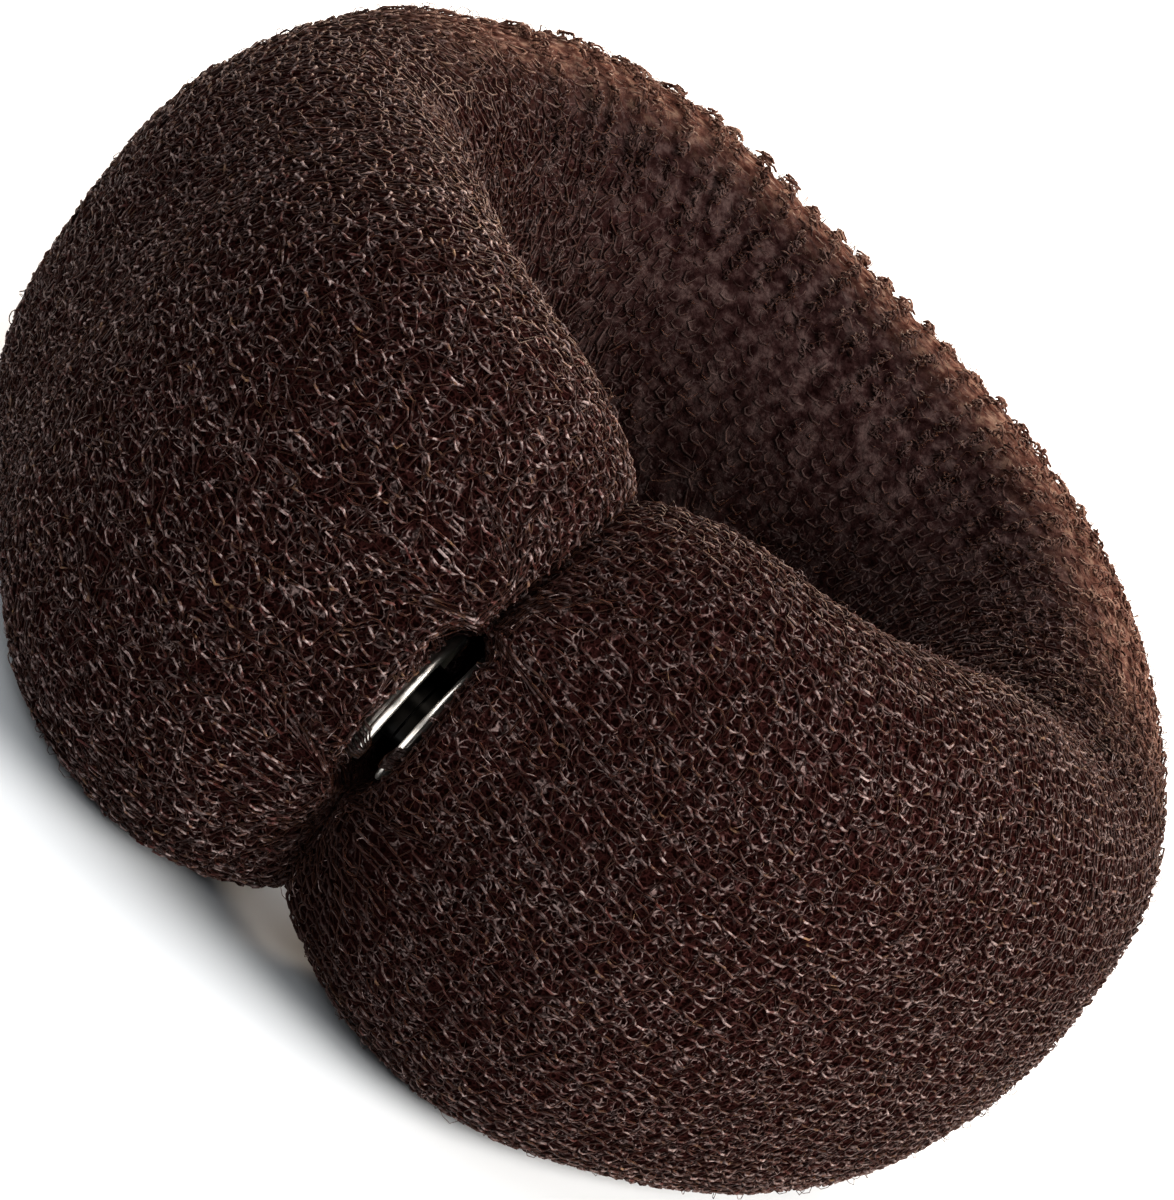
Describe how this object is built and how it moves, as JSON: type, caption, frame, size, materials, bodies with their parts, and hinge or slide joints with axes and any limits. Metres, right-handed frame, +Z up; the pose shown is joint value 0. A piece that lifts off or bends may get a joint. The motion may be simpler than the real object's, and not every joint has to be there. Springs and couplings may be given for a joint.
{
  "type": "hair donut bun maker",
  "caption": "Padded roll of brown knitted mesh, bent into a ring and closed at the front by a sewn-on metal press stud, for shaping a hair bun.",
  "frame": {"origin": "on the table, under the middle of the box of the resting ring", "axes": "+Z up through the hole of the ring, the crease and press stud face -Y, +X to the right of the crease seen from the front"},
  "size_m": [0.1076, 0.095, 0.0539],
  "materials": {
    "knit_mesh": "open knitted synthetic mesh, slightly glossy yarn",
    "stud_metal": "bright nickel plate"
  },
  "bodies": {
    "root": {"mesh_roll": "knit_mesh", "snap_socket": "stud_metal", "snap_stud": "stud_metal"}
  },
  "joints": []
}
